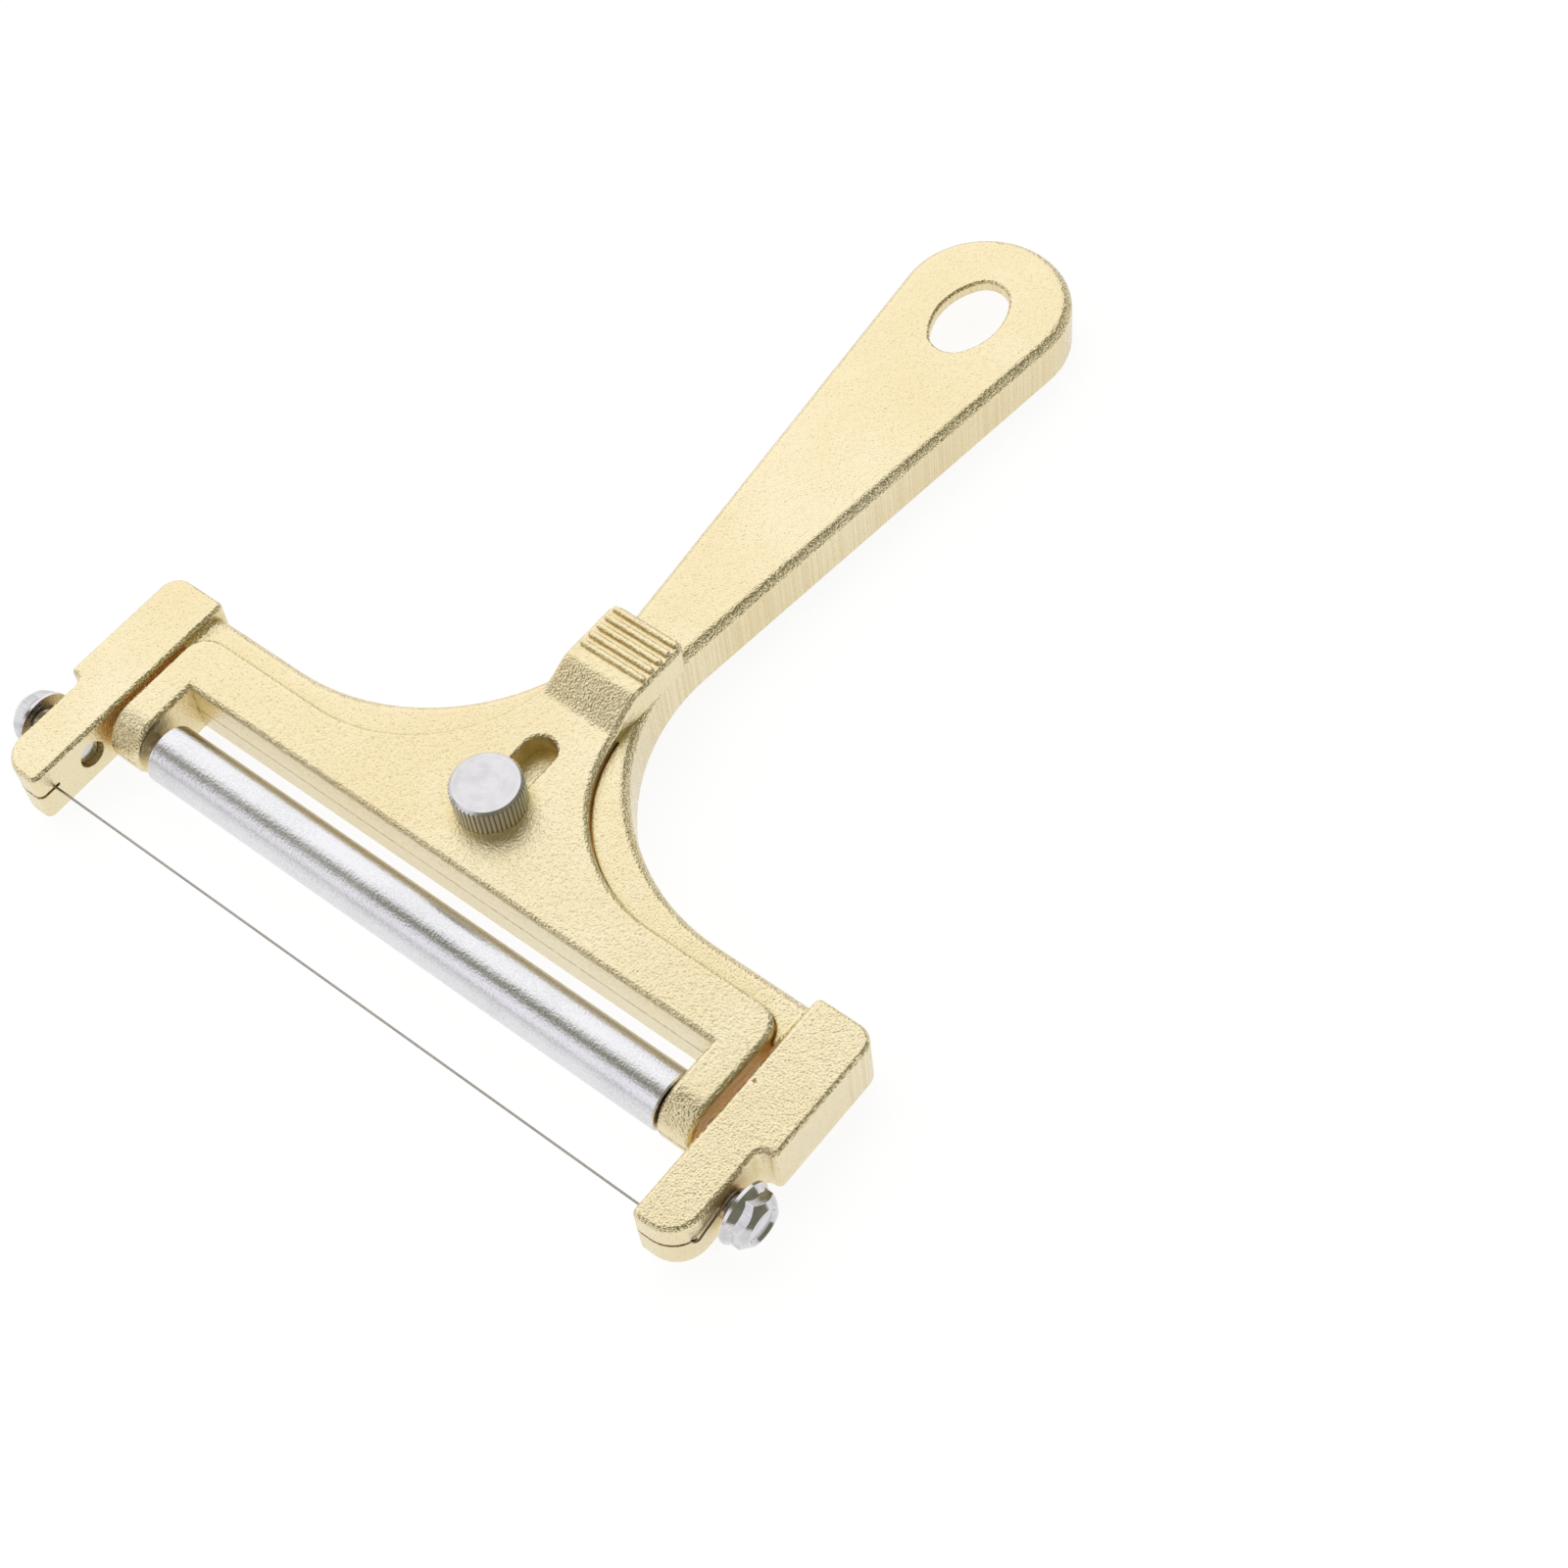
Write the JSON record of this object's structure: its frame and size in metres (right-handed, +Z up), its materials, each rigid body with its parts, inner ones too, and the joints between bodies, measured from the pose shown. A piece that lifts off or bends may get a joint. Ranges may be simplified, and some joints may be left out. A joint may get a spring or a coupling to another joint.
{
  "type": "cheese slicer",
  "caption": "Hand-held wire cheese slicer: cast T-shaped frame with a handle, taut cutting wire, and a roller on a sliding carriage held by a knurled clamp knob.",
  "frame": {"origin": "centre of the footprint on the flat underside, which is the table plane", "axes": "+X across the tool to its right, +Y from the arm tips to the handle end, +Z up through the clamp knob"},
  "size_m": [0.1488, 0.1772, 0.0159],
  "materials": {
    "cast_frame": "fine-grained gold-coloured casting",
    "cast_carriage": "fine-grained gold-coloured casting",
    "roller_tube": "satin, finely turned",
    "bush": "matte",
    "axle_steel": "satin",
    "knob": "satin top, bright knurl",
    "stud_steel": "satin",
    "bolt_chrome": "bright plated",
    "wire_steel": "drawn wire"
  },
  "bodies": {
    "frame_body": {"frame": "cast_frame", "cutting_wire": "wire_steel"},
    "carriage_body": {"carriage": "cast_carriage", "roller_axle": "axle_steel"},
    "roller_body": {"roller": "roller_tube", "roller_bush_left": "bush", "roller_bush_right": "bush"},
    "clamp_body": {"clamp_knob": "knob", "clamp_stud": "stud_steel"},
    "bolt_left_body": {"tension_bolt_left": "bolt_chrome"},
    "bolt_right_body": {"tension_bolt_right": "bolt_chrome"}
  },
  "joints": [
    {"name": "carriage_slide", "type": "slide", "parent": "frame_body", "child": "carriage_body", "axis": [0, -1, 0], "range_m": [0, 0.008]},
    {"name": "roller_spin", "type": "hinge", "parent": "carriage_body", "child": "roller_body", "pos_m": [0, -0.0704, 0.0054], "axis": [1, 0, 0], "continuous": true},
    {"name": "clamp_turn", "type": "hinge", "parent": "frame_body", "child": "clamp_body", "pos_m": [0, -0.0498, 0.0109], "axis": [0, 0, 1], "continuous": true},
    {"name": "bolt_left_turn", "type": "hinge", "parent": "frame_body", "child": "bolt_left_body", "pos_m": [-0.0705, -0.0777, 0.00515], "axis": [-1, 0, 0], "continuous": true},
    {"name": "bolt_right_turn", "type": "hinge", "parent": "frame_body", "child": "bolt_right_body", "pos_m": [0.0705, -0.0777, 0.00515], "axis": [1, 0, 0], "continuous": true}
  ]
}
